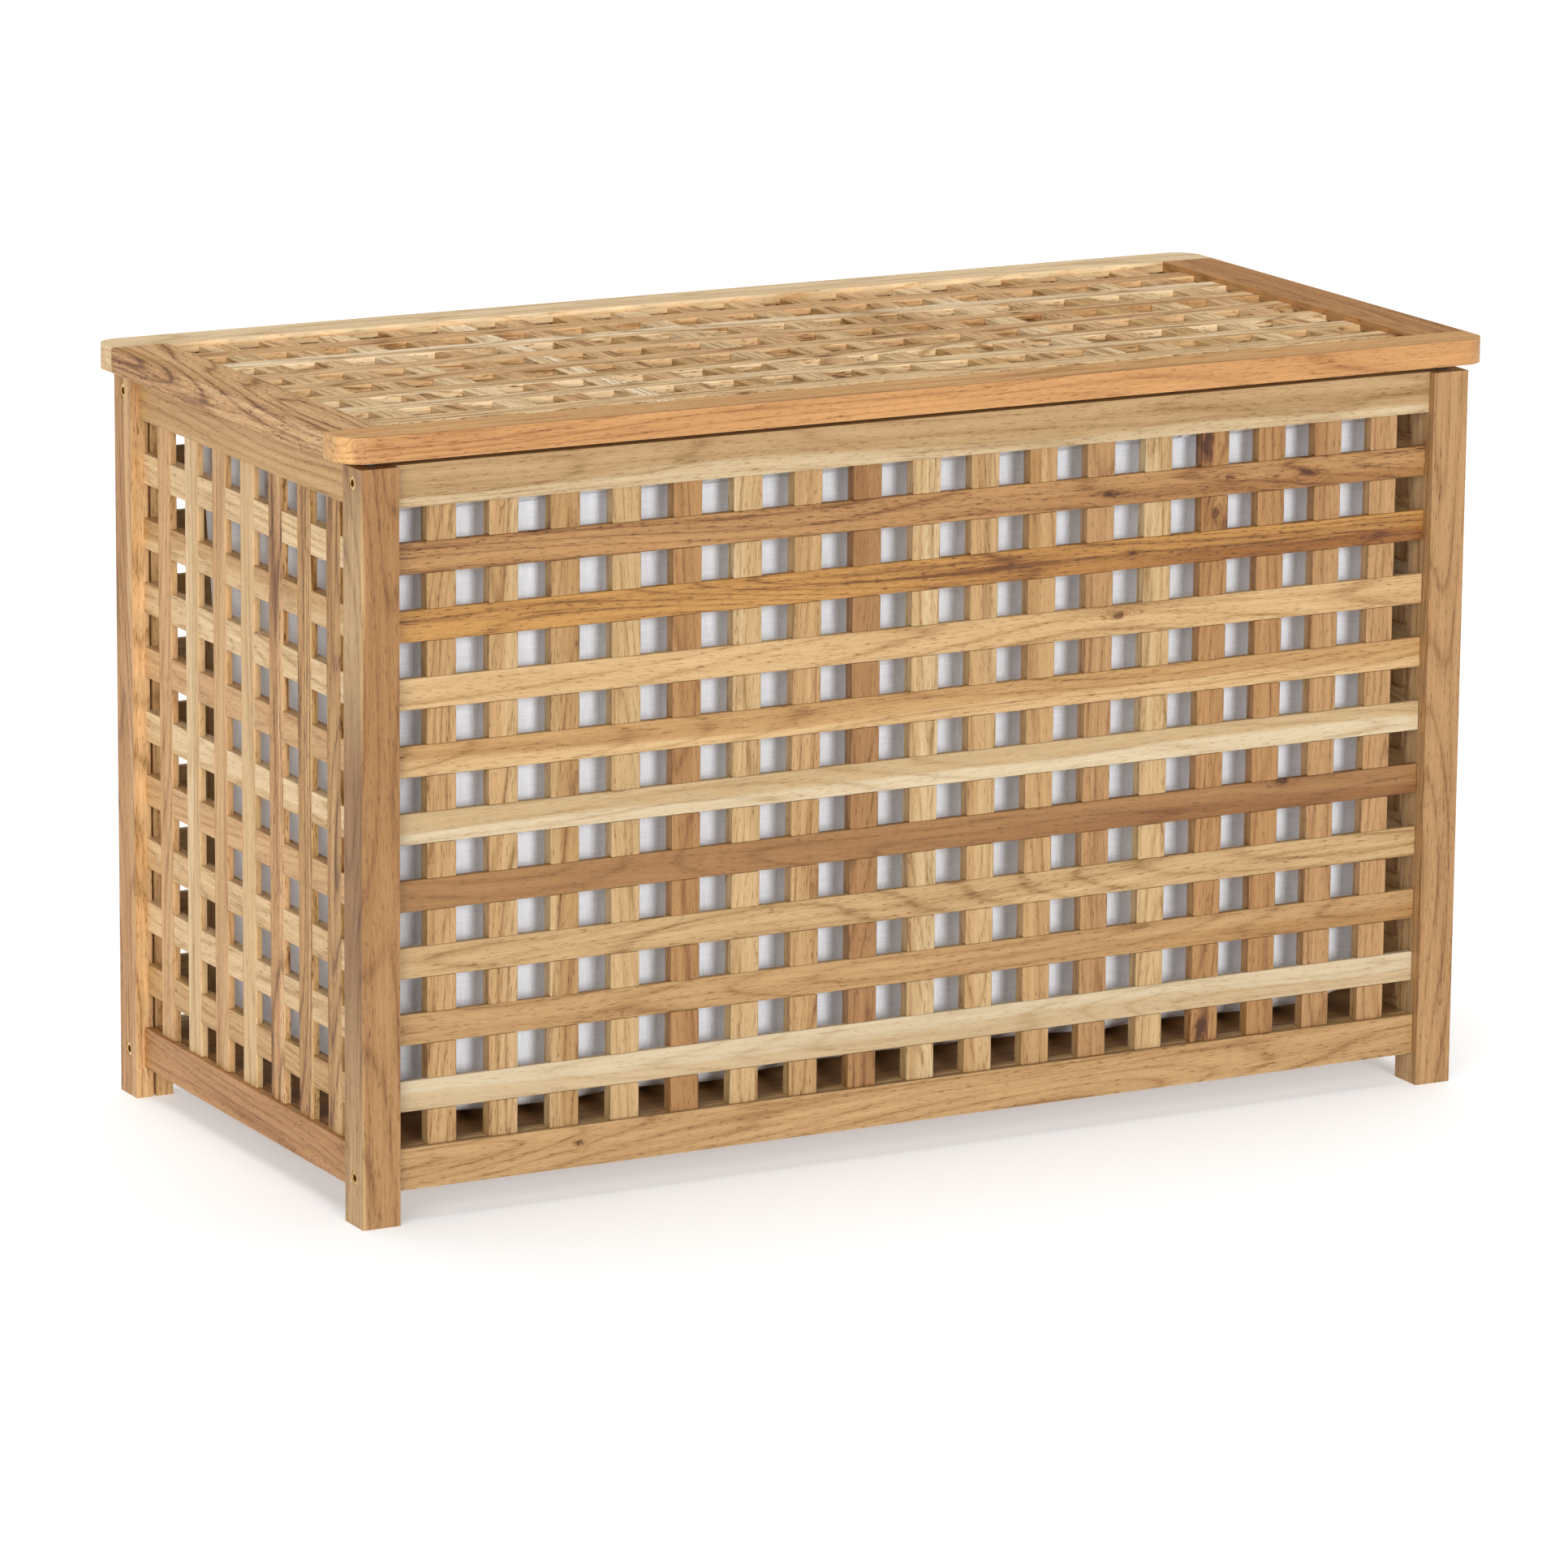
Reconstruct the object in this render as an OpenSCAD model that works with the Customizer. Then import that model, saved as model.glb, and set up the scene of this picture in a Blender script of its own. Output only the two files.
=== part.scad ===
// Lattice storage chest used as a laundry hamper, with a lifting lattice lid and a cotton bag.
// Millimetres, +Z up, the front is -Y. Origin: centre of the footprint of the legs, on the floor.

/* [Lattice] */
// width of every slat and strip
slat_w = 22; // [15:1:40]
// side of the square holes
hole_w = 25; // [15:1:45]
// upright slats in the long panels
front_cols = 17; // [9:1:25]
// upright strips in the end panels
end_cols = 7; // [3:1:13]
// level rows in all four panels
rows = 9; // [5:1:13]
// thickness of the notched slats, which is the thickness of a panel
slat_t = 10; // [8:0.5:16]
// thickness of the outer strips let into the notches
strip_t = 5.2; // [4:0.2:8]
// thickness of the tongues on the slat ends
tongue_t = 2.2; // [1.5:0.1:4]

/* [Frame] */
// side of the square legs
leg_w = 28.5; // [22:0.5:45]
// clear height under the bottom rails
foot_h = 23; // [10:1:80]
// height of the rails
rail_h = 29.5; // [20:0.5:60]
// thickness of the rails
rail_t = 16; // [14:0.5:24]

/* [Lid] */
// thickness of the lid frame
lid_t = 18; // [14:1:30]
// width of the front and back members of the lid
lid_rail_w = 35; // [25:1:70]
// width of the side members of the lid
lid_stile_w = 43; // [25:1:70]
// radius of the lid corners
lid_r = 20; // [5:1:30]
// space between the legs and the closed lid
lid_gap = 5.2; // [4.6:0.1:8]
// how far the lid is drawn open, degrees
lid_angle = 0; // [0:1:95]

/* [Hinges] */
// length of each hinge
hinge_l = 50; // [30:1:90]
// distance of each hinge from the middle
hinge_x = 290; // [150:5:360]

/* [Bag] */
// length of the bag
bag_w = 790; // [600:2:800]
// depth of the bag, front to back
bag_d = 332; // [260:2:340]
// cloth thickness of the solid stand-in
cloth_t = 1.6; // [1:0.1:3]

/* [Hidden] */
$fn = 48;
eps = 0.01;
over = 1;                           // how far a cutter runs past a face
pitch = slat_w + hole_w;
clear_w = front_cols * slat_w + (front_cols + 1) * hole_w;
clear_d = end_cols * slat_w + (end_cols + 1) * hole_w;
clear_h = rows * slat_w + (rows + 1) * hole_w;
body_w = clear_w + 2 * leg_w;
body_d = clear_d + 2 * leg_w;
z_lat = foot_h + rail_h;
leg_h = z_lat + clear_h + rail_h;
lat_in = (leg_w - slat_t) / 2;      // the lattice and the rails lie on the middle plane of the legs
rail_in = (leg_w - rail_t) / 2;
lap = 0.05;                         // play at each side of a notch
groove_w = tongue_t + 0.2;
groove_d = 6;
tongue_l = 5.5;
end_gap = 0.3;                      // play between the long panels and the legs
cx = (body_w - leg_w) / 2;          // centre lines of the legs
cy = (body_d - leg_w) / 2;

// socket screws through the legs into cross nuts, with a dowel beside each
bolt_off = 3.7;                     // screws sit this far outside the middle of each rail
bolt_d = 6;
bolt_l = 50;
bolt_play = 0.25;
bolt_bore = 33;                     // depth of the screw bores in the rail ends
head_d = 10;
head_h = 6;
sunk = 0.5;                         // the screw heads lie this far below the faces of the legs
socket_r = 2.9;
socket_h = 3;
nut_d = 10;
nut_l = 13;
nut_in = 0.4;                       // the cross nuts lie this far below the faces of the rails
nut_x = clear_w / 2 - 22;
dowel_d = 6;
dowel_off = 5.4;                    // dowels sit this far inside the middle of each rail
dowel_rail = 20;                    // length of a dowel inside its rail
dowel_leg_x = 9;                    // length of a dowel inside a leg, long rails
dowel_leg_y = 11;                   // the same, end rails
dowel_room = 0.5;                   // free room beyond the end of a dowel
snug = 0.05;                        // radial play of dowels, nuts and pins
bolt_z = [foot_h + rail_h / 2 - bolt_off, leg_h - rail_h / 2 + bolt_off];
dowel_z = [foot_h + rail_h / 2 + dowel_off, leg_h - rail_h / 2 - dowel_off];

// lid
lid_w = clear_w + 2 * lid_stile_w;
lid_d = clear_d + 2 * lid_rail_w;
lid_z = leg_h + lid_gap;
lat_top = lid_z + (lid_t + slat_t) / 2;
lid_groove_x = clear_w / 2 + 15;    // half the length of the grooves in the long members
lid_dowel_x = lid_w / 2 - 13;
lid_dowel_l = 30;

// hinges: five knuckles each, three on the fixed leaf
axis_y = body_d / 2 - 0.9;
axis_z = leg_h + lid_gap / 2;
leaf_t = 1.2;
rise = 0.3;                         // the barrels clear the wood by this much
barrel_r = lid_gap / 2 - rise;
leaf_play = 0.2;                    // between a leaf and the other leaf's knuckles
knuckle = hinge_l / 5;
knuckle_play = 0.1;
pin_r = 1.2;
pin_end = 0.6;                      // how far a pin stands out of its barrel
leaf_in = body_d / 2 - rail_in - rail_t + 1;     // front edge of the leaves
screw_y = body_d / 2 - leg_w / 2;
screw_dx = 17;
screw_l = 14;
screw_r = 1.6;
screw_head_r = 3.2;
screw_head_h = 1.9;
screw_slot = [3.2, 0.6, 0.8];       // length, width and depth of a cross slot
bumper_r = [4.5, 3.8];              // at the leg, at the top
bumper_gap = 0.2;

// bottom and bag
panel_t = 6;
panel_play = 0.5;
panel_top = z_lat - 2.5;
cleat = 12;
cleat_end = 30;                                  // the cleats stop this far from the legs
in_x = body_w / 2 - rail_in - rail_t;            // inner faces of the rails
in_y = body_d / 2 - rail_in - rail_t;
bag_z0 = panel_top + 1;
bag_z1 = leg_h - rail_h + 4;
bag_r = 16;
hem_h = 24;
hem_t = 1.4;
tab_w = 40;
tab_x = 240;
tab_t = 1.5;
tape_t = 1.2;
tape_z0 = leg_h - 24;
tape_h = 18;

module box(x0, x1, y0, y1, z0, z1) translate([x0, y0, z0]) cube([x1 - x0, y1 - y0, z1 - z0]);
module rod(r, l) cylinder(r = r, h = l, center = true);

// a thin strip: length on x, thickness on +y, width on z; tongues on both ends when asked for
module strip(len, tongue = 0) {
    cube([len, strip_t, slat_w]);
    if (tongue > 0) {
        t0 = (slat_t - tongue_t) / 2;
        translate([-tongue, t0, 0]) cube([len + 2 * tongue, strip_t - t0, slat_w]);
    }
}

// a thick slat: width on x, thickness on +y, length on z, a notch in its front face at each of n crossings
module slat(len, n) difference() {
    union() {
        cube([slat_w, slat_t, len]);
        translate([0, (slat_t - tongue_t) / 2, -tongue_l]) cube([slat_w, tongue_t, len + 2 * tongue_l]);
    }
    for (i = [0 : n - 1]) translate([-over, -over, hole_w + i * pitch - lap])
        cube([slat_w + 2 * over, strip_t + over, slat_w + 2 * lap]);
}

// ---- legs: screw holes on x, dowel holes on x and y, a groove for the tongues over the whole height
module leg_at(sx, sy) color([0.66, 0.47, 0.30]) difference() {
    translate([sx * cx, sy * cy, leg_h / 2]) cube([leg_w, leg_w, leg_h], center = true);
    translate([sx * cx, sy * (clear_d + groove_d - over) / 2, leg_h / 2])
        cube([groove_w, groove_d + over, leg_h + 2 * over], center = true);
    for (z = bolt_z) translate([sx * (body_w / 2 + over), sy * cy, z]) rotate([0, -90 * sx, 0]) {
        cylinder(r = head_d / 2 + bolt_play, h = head_h + sunk + over);
        cylinder(r = bolt_d / 2 + bolt_play, h = leg_w + 2 * over);
    }
    for (z = dowel_z) {
        translate([sx * clear_w / 2, sy * cy, z]) rotate([0, 90, 0])
            rod(dowel_d / 2 + snug, 2 * (dowel_leg_x + dowel_room));
        translate([sx * cx, sy * clear_d / 2, z]) rotate([90, 0, 0])
            rod(dowel_d / 2 + snug, 2 * (dowel_leg_y + dowel_room));
    }
}
module leg_front_left() leg_at(-1, -1);
module leg_front_right() leg_at(1, -1);
module leg_rear_left() leg_at(-1, 1);
module leg_rear_right() leg_at(1, 1);

// ---- long rails, drawn for the front; k = 0 bottom, 1 top
module long_rail(k) difference() {
    y0 = -cy - rail_t / 2;
    z0 = k == 0 ? foot_h : leg_h - rail_h;
    box(-clear_w / 2 + end_gap, clear_w / 2 - end_gap, y0, y0 + rail_t, z0, z0 + rail_h);
    translate([0, -cy, k == 0 ? z_lat : z0])
        cube([clear_w + 2 * over, groove_w, 2 * groove_d], center = true);
    for (sx = [-1, 1]) {
        translate([sx * clear_w / 2, -cy, bolt_z[k]]) rotate([0, 90, 0])
            rod(bolt_d / 2 + bolt_play, 2 * bolt_bore);
        translate([sx * clear_w / 2, -cy, dowel_z[k]]) rotate([0, 90, 0])
            rod(dowel_d / 2 + snug, 2 * (dowel_rail + dowel_room));
        translate([sx * nut_x, y0 + rail_t, bolt_z[k]]) rotate([90, 0, 0])
            rod(nut_d / 2 + snug, 2 * (nut_l + over));
    }
}
module front_top_rail() color([0.70, 0.50, 0.33]) long_rail(1);
module front_bottom_rail() color([0.70, 0.50, 0.33]) long_rail(0);
module back_top_rail() color([0.70, 0.50, 0.33]) difference() {
    mirror([0, 1, 0]) long_rail(1);
    fixed_screw_space();
}
module back_bottom_rail() color([0.70, 0.50, 0.33]) mirror([0, 1, 0]) long_rail(0);

// ---- end rails, drawn for the left end
module end_rail(k) difference() {
    z0 = k == 0 ? foot_h : leg_h - rail_h;
    box(-cx - rail_t / 2, -cx + rail_t / 2, -clear_d / 2, clear_d / 2, z0, z0 + rail_h);
    translate([-cx, 0, k == 0 ? z_lat : z0])
        cube([groove_w, clear_d + 2 * over, 2 * groove_d], center = true);
    for (sy = [-1, 1]) translate([-cx, sy * clear_d / 2, dowel_z[k]]) rotate([90, 0, 0])
        rod(dowel_d / 2 + snug, 2 * (dowel_rail + dowel_room));
}
module left_top_rail() color([0.68, 0.47, 0.31]) end_rail(1);
module left_bottom_rail() color([0.68, 0.47, 0.31]) end_rail(0);
module right_top_rail() color([0.68, 0.47, 0.31]) mirror([1, 0, 0]) end_rail(1);
module right_bottom_rail() color([0.68, 0.47, 0.31]) mirror([1, 0, 0]) end_rail(0);

// ---- lattices, drawn for the front and for the left end
module long_strips() for (i = [0 : rows - 1])
    translate([-clear_w / 2 + end_gap, -body_d / 2 + lat_in, z_lat + hole_w + i * pitch])
        strip(clear_w - 2 * end_gap);
module long_slats() for (i = [0 : front_cols - 1])
    translate([-clear_w / 2 + hole_w + i * pitch, -body_d / 2 + lat_in, z_lat]) slat(clear_h, rows);
module end_strips() for (i = [0 : end_cols - 1])
    translate([-body_w / 2 + lat_in, -clear_d / 2 + hole_w + i * pitch, z_lat])
        rotate([0, -90, -90]) strip(clear_h, tongue_l);
module end_slats() for (i = [0 : rows - 1])
    translate([-body_w / 2 + lat_in, -clear_d / 2, z_lat + hole_w + i * pitch])
        rotate([-90, -90, 0]) slat(clear_d, end_cols);
module front_level_strips() color([0.74, 0.55, 0.37]) long_strips();
module front_upright_slats() color([0.72, 0.56, 0.38]) long_slats();
module back_level_strips() color([0.74, 0.55, 0.37]) mirror([0, 1, 0]) long_strips();
module back_upright_slats() color([0.72, 0.56, 0.38]) mirror([0, 1, 0]) long_slats();
module left_upright_strips() color([0.74, 0.58, 0.41]) end_strips();
module left_level_slats() color([0.72, 0.52, 0.36]) end_slats();
module right_upright_strips() color([0.74, 0.58, 0.41]) mirror([1, 0, 0]) end_strips();
module right_level_slats() color([0.72, 0.52, 0.36]) mirror([1, 0, 0]) end_slats();

// ---- bottom: a thin panel notched round the legs, lying on cleats inside the bottom rails
module bottom_panel() color([0.42, 0.28, 0.17]) difference() {
    box(-in_x + panel_play, in_x - panel_play, -in_y + panel_play, in_y - panel_play,
        panel_top - panel_t, panel_top);
    for (sx = [-1, 1], sy = [-1, 1])
        translate([sx * (clear_w / 2 - panel_play + leg_w), sy * (clear_d / 2 - panel_play + leg_w),
                   panel_top])
            cube([2 * leg_w, 2 * leg_w, 3 * panel_t], center = true);
}
module cleat_at(x, y, size) translate([x, y, panel_top - panel_t - cleat / 2]) cube(size, center = true);
module long_cleats() color([0.60, 0.44, 0.28]) for (s = [-1, 1])
    cleat_at(0, s * (in_y - cleat / 2), [clear_w - 2 * cleat_end, cleat, cleat]);
module short_cleats() color([0.60, 0.44, 0.28]) for (s = [-1, 1])
    cleat_at(s * (in_x - cleat / 2), 0, [cleat, clear_d - 2 * cleat_end, cleat]);

// ---- fittings of the frame
module bolt() difference() {
    union() {
        cylinder(r = head_d / 2, h = head_h);
        cylinder(r = bolt_d / 2, h = head_h + bolt_l);
    }
    translate([0, 0, -over]) cylinder(r = socket_r, h = socket_h + over, $fn = 6);
}
module leg_bolts() color([0.62, 0.52, 0.30]) for (sx = [-1, 1], sy = [-1, 1], z = bolt_z)
    translate([sx * (body_w / 2 - sunk), sy * cy, z]) rotate([0, -90 * sx, 0]) bolt();
module cross_nuts() color([0.70, 0.68, 0.62]) for (sx = [-1, 1], sy = [-1, 1], z = bolt_z) difference() {
    translate([sx * nut_x, sy * (cy - rail_t / 2 + nut_in + nut_l / 2), z]) rotate([90, 0, 0])
        rod(nut_d / 2, nut_l);
    translate([sx * nut_x, sy * cy, z]) rotate([0, 90, 0]) rod(bolt_d / 2 + snug, 2 * nut_d);
}
module long_rail_dowels() color([0.80, 0.68, 0.50]) for (sx = [-1, 1], sy = [-1, 1], z = dowel_z)
    translate([sx * (clear_w / 2 - dowel_rail), sy * cy, z]) rotate([0, 90 * sx, 0])
        cylinder(r = dowel_d / 2, h = dowel_rail + dowel_leg_x);
module end_rail_dowels() color([0.80, 0.68, 0.50]) for (sx = [-1, 1], sy = [-1, 1], z = dowel_z)
    translate([sx * cx, sy * (clear_d / 2 - dowel_rail), z]) rotate([-90 * sy, 0, 0])
        cylinder(r = dowel_d / 2, h = dowel_rail + dowel_leg_y);

// ---- lid, drawn closed and turned about the hinge pins
module lifted() translate([0, axis_y, axis_z]) rotate([-lid_angle, 0, 0]) translate([0, -axis_y, -axis_z])
    children();
// the waste outside a rounded corner of radius r about the origin, towards +x +y
module corner_waste(r, h) difference() {
    translate([0, 0, -over]) cube([r + over, r + over, h + 2 * over]);
    translate([0, 0, -2 * over]) cylinder(r = r, h = h + 4 * over);
}
module at_lid_dowels() for (sx = [-1, 1], sy = [-1, 1])
    translate([sx * lid_dowel_x, sy * clear_d / 2, lid_z + lid_t / 2]) rotate([90, 0, 0]) children();
module lid_dowel_space() at_lid_dowels() rod(dowel_d / 2 + snug, lid_dowel_l + 2 * dowel_room);
// drawn for the back
module lid_long_member() difference() {
    box(-lid_w / 2, lid_w / 2, clear_d / 2, lid_d / 2, lid_z, lid_z + lid_t);
    for (sx = [-1, 1]) translate([sx * (lid_w / 2 - lid_r), lid_d / 2 - lid_r, lid_z])
        rotate([0, 0, 45 - 45 * sx]) corner_waste(lid_r, lid_t);
    translate([0, clear_d / 2, lid_z + lid_t / 2])
        cube([2 * lid_groove_x, 2 * groove_d, groove_w], center = true);
    lid_dowel_space();
}
module lid_side_member(s) difference() {
    translate([s * (lid_w - lid_stile_w) / 2, 0, lid_z + lid_t / 2])
        cube([lid_stile_w, clear_d, lid_t], center = true);
    translate([s * clear_w / 2, 0, lid_z + lid_t / 2]) cube([2 * groove_d, lid_d, groove_w], center = true);
    lid_dowel_space();
}
module lid_front_rail() color([0.74, 0.53, 0.38]) lifted() mirror([0, 1, 0]) lid_long_member();
module lid_back_rail() color([0.80, 0.68, 0.50]) lifted() difference() {
    lid_long_member();
    moving_screw_space();
}
module lid_left_stile() color([0.70, 0.50, 0.35]) lifted() lid_side_member(-1);
module lid_right_stile() color([0.64, 0.46, 0.31]) lifted() lid_side_member(1);
module lid_long_strips() color([0.76, 0.61, 0.45]) lifted() for (i = [0 : end_cols - 1])
    translate([-clear_w / 2, -clear_d / 2 + hole_w + i * pitch, lat_top]) rotate([-90, 0, 0])
        strip(clear_w, tongue_l);
module lid_cross_slats() color([0.74, 0.60, 0.43]) lifted() for (i = [0 : front_cols - 1])
    translate([-clear_w / 2 + hole_w + i * pitch, -clear_d / 2, lat_top]) rotate([-90, 0, 0])
        slat(clear_d, end_cols);
module lid_stile_dowels() color([0.80, 0.68, 0.50]) lifted() at_lid_dowels() rod(dowel_d / 2, lid_dowel_l);

// ---- hinges
module screw_spots(z) for (hx = [-hinge_x, hinge_x], dx = [-screw_dx, 0, screw_dx])
    translate([hx + dx, screw_y, z]) children();
module screw() difference() {
    union() {
        translate([0, 0, -screw_head_h]) cylinder(r1 = screw_r, r2 = screw_head_r, h = screw_head_h);
        translate([0, 0, -screw_l]) cylinder(r = screw_r, h = screw_l - over);
    }
    for (a = [0, 90]) rotate([0, 0, a])
        cube([screw_slot[0], screw_slot[1], 2 * screw_slot[2]], center = true);
}
module screw_space() {
    translate([0, 0, -screw_head_h - snug])
        cylinder(r1 = screw_r + snug, r2 = screw_head_r + 2 * snug, h = screw_head_h + snug + eps);
    translate([0, 0, -screw_l - over]) cylinder(r = screw_r + snug, h = screw_l + over);
}
module fixed_screw_space() screw_spots(leg_h + leaf_t) screw_space();
module moving_screw_space() screw_spots(lid_z - leaf_t) mirror([0, 0, 1]) screw_space();
module leaf(hx, moving) difference() {
    z0 = moving ? lid_z - leaf_t : leg_h;
    union() {
        box(hx - hinge_l / 2, hx + hinge_l / 2, leaf_in, axis_y - barrel_r - leaf_play, z0, z0 + leaf_t);
        for (k = [moving ? 1 : 0 : 2 : 4]) {
            x0 = hx - hinge_l / 2 + k * knuckle + knuckle_play;
            x1 = x0 + knuckle - 2 * knuckle_play;
            box(x0, x1, axis_y - barrel_r - 2 * leaf_play, axis_y,
                moving ? z0 : z0 + rise, moving ? z0 + leaf_t - rise : z0 + leaf_t);
            translate([(x0 + x1) / 2, axis_y, axis_z]) rotate([0, 90, 0]) rod(barrel_r, x1 - x0);
        }
    }
    translate([hx, axis_y, axis_z]) rotate([0, 90, 0]) rod(pin_r + snug, 2 * hinge_l);
}
module hinge_fixed_leaves() color([0.72, 0.60, 0.32]) difference() {
    for (hx = [-hinge_x, hinge_x]) leaf(hx, false);
    fixed_screw_space();
}
module hinge_moving_leaves() color([0.72, 0.60, 0.32]) lifted() difference() {
    for (hx = [-hinge_x, hinge_x]) leaf(hx, true);
    moving_screw_space();
}
module hinge_pins() color([0.75, 0.66, 0.42]) for (hx = [-hinge_x, hinge_x])
    translate([hx, axis_y, axis_z]) rotate([0, 90, 0]) rod(pin_r, hinge_l + 2 * pin_end);
module hinge_screws_chest() color([0.72, 0.62, 0.38]) screw_spots(leg_h + leaf_t) screw();
module hinge_screws_lid() color([0.72, 0.62, 0.38]) lifted() screw_spots(lid_z - leaf_t)
    mirror([0, 0, 1]) screw();
module lid_bumpers() color([0.20, 0.17, 0.15]) for (sx = [-1, 1]) translate([sx * cx, -cy, leg_h])
    cylinder(r1 = bumper_r[0], r2 = bumper_r[1], h = lid_gap - bumper_gap);

// ---- bag: an open cotton box with a bound rim, hung from tabs on hook tapes inside the top rails
module round_box(w, d, r, z0, z1) {
    box(-w / 2 + r, w / 2 - r, -d / 2, d / 2, z0, z1);
    box(-w / 2, w / 2, -d / 2 + r, d / 2 - r, z0, z1);
    for (sx = [-1, 1], sy = [-1, 1]) translate([sx * (w / 2 - r), sy * (d / 2 - r), z0])
        cylinder(r = r, h = z1 - z0);
}
module laundry_bag() color([0.88, 0.87, 0.86]) difference() {
    round_box(bag_w, bag_d, bag_r, bag_z0, bag_z1);
    round_box(bag_w - 2 * cloth_t, bag_d - 2 * cloth_t, bag_r - cloth_t, bag_z0 + cloth_t, bag_z1 + over);
}
module bag_hem() color([0.90, 0.89, 0.87]) difference() {
    round_box(bag_w + 2 * hem_t, bag_d + 2 * hem_t, bag_r + hem_t, bag_z1 - hem_h, bag_z1);
    round_box(bag_w, bag_d, bag_r, bag_z1 - hem_h - over, bag_z1 + over);
}
// one tab for a side whose rim and rail faces lie a and b from the middle, drawn towards -y
module tab(a, b) {
    box(-tab_w / 2, tab_w / 2, -b, -a, bag_z1 - tab_t, bag_z1);
    box(-tab_w / 2, tab_w / 2, -b, -b + tab_t, bag_z1 - tab_t, tape_z0 + tape_h);
}
module at_tabs() {
    for (sx = [-1, 1], t = [0, 180]) rotate([0, 0, t]) translate([sx * tab_x, 0, 0]) {
        $a = bag_d / 2 + hem_t;
        $b = in_y;
        children();
    }
    for (t = [90, 270]) rotate([0, 0, t]) {
        $a = bag_w / 2 + hem_t;
        $b = in_x;
        children();
    }
}
module bag_tabs() color([0.86, 0.85, 0.83]) at_tabs() tab($a, $b - tape_t);
module bag_hook_tapes() color([0.25, 0.22, 0.20]) at_tabs()
    box(-tab_w / 2, tab_w / 2, -$b, -$b + tape_t, tape_z0, tape_z0 + tape_h);

leg_front_left();
leg_front_right();
leg_rear_left();
leg_rear_right();
front_top_rail();
front_bottom_rail();
back_top_rail();
back_bottom_rail();
left_top_rail();
left_bottom_rail();
right_top_rail();
right_bottom_rail();
front_level_strips();
front_upright_slats();
back_level_strips();
back_upright_slats();
left_upright_strips();
left_level_slats();
right_upright_strips();
right_level_slats();
bottom_panel();
long_cleats();
short_cleats();
leg_bolts();
cross_nuts();
long_rail_dowels();
end_rail_dowels();
lid_front_rail();
lid_back_rail();
lid_left_stile();
lid_right_stile();
lid_long_strips();
lid_cross_slats();
lid_stile_dowels();
hinge_fixed_leaves();
hinge_moving_leaves();
hinge_pins();
hinge_screws_chest();
hinge_screws_lid();
lid_bumpers();
laundry_bag();
bag_hem();
bag_tabs();
bag_hook_tapes();
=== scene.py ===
"""Looks of a lattice wood chest with a lifting lid and a hung cotton laundry bag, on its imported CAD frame.

Metres, +Z up, the front is -Y. The CAD wood and metal stay as they are and get eased edges and materials.
The bag, its bound rim and its tabs are new cloth surfaces.
"""

import math

import bmesh
import bpy
import numpy as np
from mathutils import Matrix, Vector


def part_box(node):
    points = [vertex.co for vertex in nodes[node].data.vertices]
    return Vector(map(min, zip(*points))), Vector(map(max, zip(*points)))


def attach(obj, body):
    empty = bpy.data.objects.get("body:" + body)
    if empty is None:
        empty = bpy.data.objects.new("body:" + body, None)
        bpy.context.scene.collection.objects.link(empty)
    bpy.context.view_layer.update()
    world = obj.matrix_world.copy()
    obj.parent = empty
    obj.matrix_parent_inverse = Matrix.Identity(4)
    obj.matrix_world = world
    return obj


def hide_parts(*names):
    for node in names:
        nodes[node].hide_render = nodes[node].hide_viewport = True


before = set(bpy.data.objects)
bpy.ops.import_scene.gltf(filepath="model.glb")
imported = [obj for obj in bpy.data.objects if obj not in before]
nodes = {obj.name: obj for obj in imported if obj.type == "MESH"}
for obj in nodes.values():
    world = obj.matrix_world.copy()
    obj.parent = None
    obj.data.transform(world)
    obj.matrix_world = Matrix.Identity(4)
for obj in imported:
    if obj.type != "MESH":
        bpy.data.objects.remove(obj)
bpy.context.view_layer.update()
scene = bpy.context.scene
TAU = 2 * math.pi
PITCH = 0.047  # from one slat to the next: 22 mm of wood and a 25 mm hole
SLAT = 0.022


# ---- materials

def linear(colour):
    """An sRGB hex colour as linear RGBA: each channel by the sRGB curve."""
    c = np.array([int(colour[i:i + 2], 16) for i in (1, 3, 5)]) / 255
    return (*np.where(c <= 0.04045, c / 12.92, ((c + 0.055) / 1.055) ** 2.4), 1.0)


def node(tree, kind, *feeds, out=0, stops=(), sockets=(), **settings):
    """Adds a node with its settings and links, and returns one of its outputs.

    feeds fill its sockets in order and sockets fill them by name, each with a value or another node's output.
    stops are the places and linear colours of a ramp.
    """
    n = tree.nodes.new("ShaderNode" + kind)
    for key, value in settings.items():
        setattr(n, key, value)
    for key, value in [*enumerate(feeds), *dict(sockets).items()]:
        if isinstance(value, bpy.types.NodeSocket):
            tree.links.new(value, n.inputs[key])
        else:
            n.inputs[key].default_value = value
    for i, (place, colour) in enumerate(stops):
        ramp = n.color_ramp.elements
        stop = ramp[i] if i < len(ramp) else ramp.new(1.0)
        stop.position, stop.color = place, colour
    return n.outputs[out] if len(n.outputs) else None


def material(name):
    """A new empty material and its node tree."""
    m = bpy.data.materials.new(name)
    m.use_nodes = True
    m.node_tree.nodes.clear()
    return m, m.node_tree


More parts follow.
